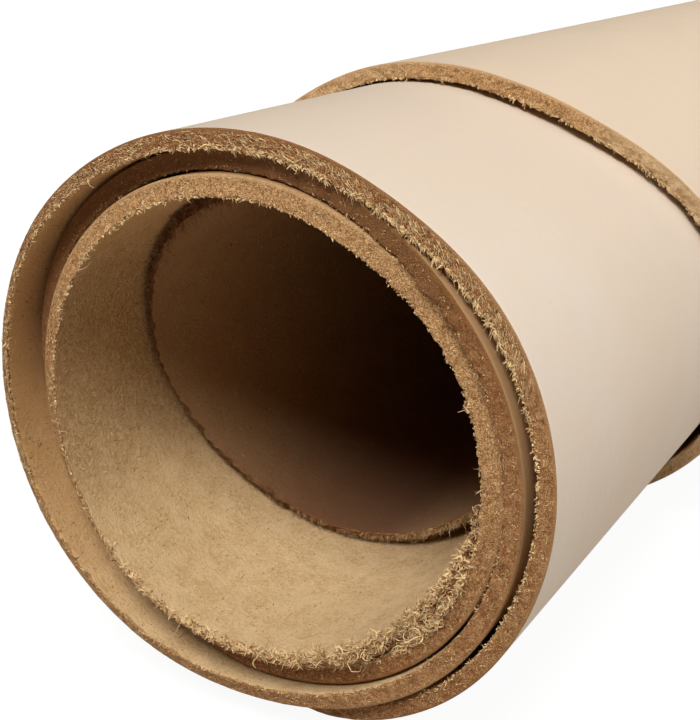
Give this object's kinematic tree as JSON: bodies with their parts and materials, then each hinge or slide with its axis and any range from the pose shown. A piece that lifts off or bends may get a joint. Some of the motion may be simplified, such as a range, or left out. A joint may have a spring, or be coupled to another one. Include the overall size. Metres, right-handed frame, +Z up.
{
  "type": "leather double shoulder",
  "caption": "Rolled-up sheet of undyed vegetable-tanned leather with raw cut edges, smooth grain outside and suede-like flesh side inside.",
  "frame": {"origin": "middle of the roll's bounding box, on the surface that it rests on", "axes": "+Y along the roll from the shown end to the hidden end, +Z up, +X to the right as seen from the shown end"},
  "size_m": [0.1156, 0.8034, 0.1103],
  "materials": {
    "undyed_leather": "undyed, smooth grain side and napped flesh side"
  },
  "bodies": {
    "root": {"double_shoulder": "undyed_leather"}
  },
  "joints": []
}
